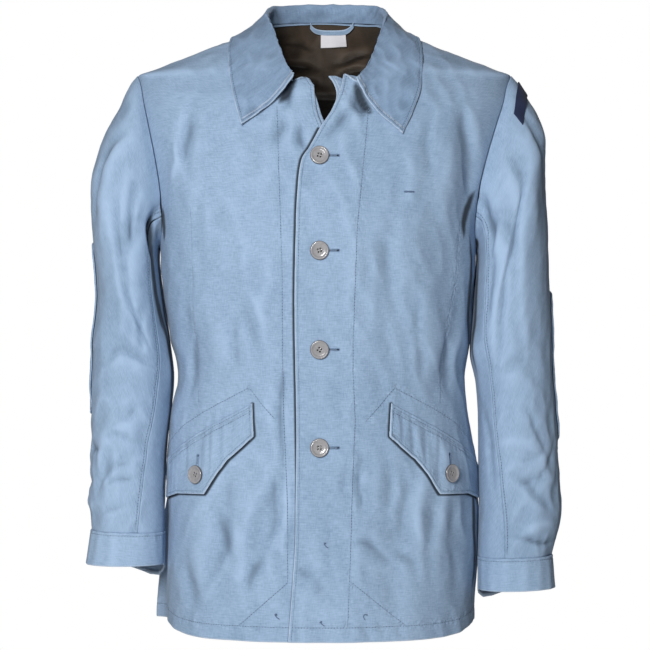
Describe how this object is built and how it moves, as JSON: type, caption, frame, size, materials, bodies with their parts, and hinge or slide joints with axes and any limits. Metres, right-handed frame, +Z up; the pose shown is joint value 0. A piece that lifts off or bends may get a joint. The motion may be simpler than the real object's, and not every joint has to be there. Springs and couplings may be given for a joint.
{
  "type": "civil defence jacket",
  "caption": "Blue cotton work jacket, filled out and empty: turn-down collar, buttoned front, long sleeves with cuffs and elbow patches, slanted pocket flaps.",
  "frame": {"origin": "on the middle plane, midway between the two points where the shoulder seams meet the collar, where the wearer's shoulders carry the jacket", "axes": "+Z up the wearer's neck, -Y the way the front faces, +X towards the wearer's left"},
  "size_m": [0.5911, 0.2956, 0.7935],
  "materials": {
    "blue_cotton": "washed, slubby plain weave, worn pale at its edges",
    "brown_lining": "smooth, softly creased",
    "navy_cloth": "felted, matt",
    "pale_tape": "fine woven tape, bare",
    "grey_plastic": "glossy, darker at the rim"
  },
  "bodies": {
    "root": {"front_left": "blue_cotton", "front_right": "blue_cotton", "back": "blue_cotton", "back_lining": "brown_lining", "facing_left": "blue_cotton", "facing_right": "blue_cotton", "collar": "blue_cotton", "hanger_loop": "blue_cotton", "size_label": "pale_tape", "sleeve_top_left": "blue_cotton", "sleeve_top_right": "blue_cotton", "sleeve_under_left": "blue_cotton", "sleeve_under_right": "blue_cotton", "elbow_patch_left": "blue_cotton", "elbow_patch_right": "blue_cotton", "cuff_left": "blue_cotton", "cuff_right": "blue_cotton", "pocket_flap_left": "blue_cotton", "pocket_flap_right": "blue_cotton", "shoulder_title": "navy_cloth", "button_front_1": "grey_plastic", "button_front_2": "grey_plastic", "button_front_3": "grey_plastic", "button_front_4": "grey_plastic", "button_pocket_left": "grey_plastic", "button_pocket_right": "grey_plastic", "button_cuff_left": "grey_plastic", "button_cuff_right": "grey_plastic"}
  },
  "joints": []
}
